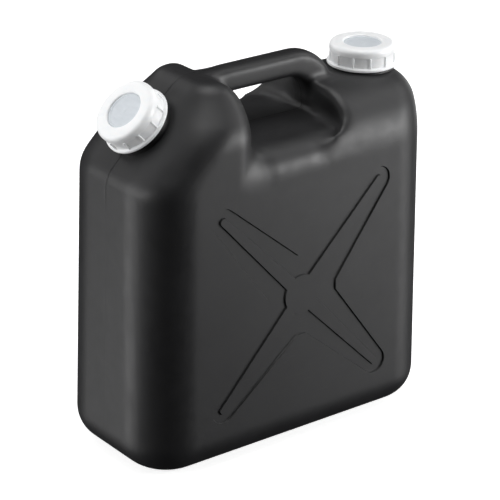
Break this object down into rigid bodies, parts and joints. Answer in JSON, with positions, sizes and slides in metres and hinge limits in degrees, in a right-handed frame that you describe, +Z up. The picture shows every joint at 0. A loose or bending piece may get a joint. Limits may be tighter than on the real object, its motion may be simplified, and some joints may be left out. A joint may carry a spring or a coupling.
{
  "type": "jerry can",
  "caption": "Flat blow-moulded jerry can with a top grip, a slanted pouring mouth and an upright filling mouth, each closed by a ribbed screw ring over a sealing disc.",
  "frame": {"origin": "centre of the base, on the floor", "axes": "+Z up, -X towards the slanted pouring mouth, -Y towards the side shown in front; the parting plane is Y = 0"},
  "size_m": [0.3392, 0.1596, 0.3666],
  "materials": {
    "tank_black": "satin black polyethylene",
    "cap_white": "milky translucent polyethylene",
    "disc_grey": "cool grey translucent polyethylene",
    "gasket_rubber": "dark sealing rubber"
  },
  "bodies": {
    "tank": {"tank": "tank_black"},
    "filler_seal": {"filler_sealing_disc": "disc_grey", "filler_gasket": "gasket_rubber"},
    "filler_ring": {"filler_screw_ring": "cap_white"},
    "spout_seal": {"spout_sealing_disc": "disc_grey", "spout_gasket": "gasket_rubber"},
    "spout_ring": {"spout_screw_ring": "cap_white"}
  },
  "joints": [
    {"name": "filler_lift", "type": "slide", "parent": "tank", "child": "filler_seal", "axis": [0, 0, 1], "range_m": [0, 0.01801]},
    {"name": "filler_unscrew", "type": "hinge", "parent": "filler_seal", "child": "filler_ring", "pos_m": [0.1317, 0, 0.336], "axis": [0, 0, 1], "range_deg": [0, 1080]},
    {"name": "spout_lift", "type": "slide", "parent": "tank", "child": "spout_seal", "axis": [-0.7071, 0, 0.7071], "range_m": [0, 0.01801]},
    {"name": "spout_unscrew", "type": "hinge", "parent": "spout_seal", "child": "spout_ring", "pos_m": [-0.1314, 0, 0.3311], "axis": [-0.7071, 0, 0.7071], "range_deg": [0, 1080]}
  ],
  "couplings": [
    {"joint": "filler_lift", "follows": "filler_unscrew", "m_per_rad": 0.00095493},
    {"joint": "spout_lift", "follows": "spout_unscrew", "m_per_rad": 0.00095493}
  ]
}
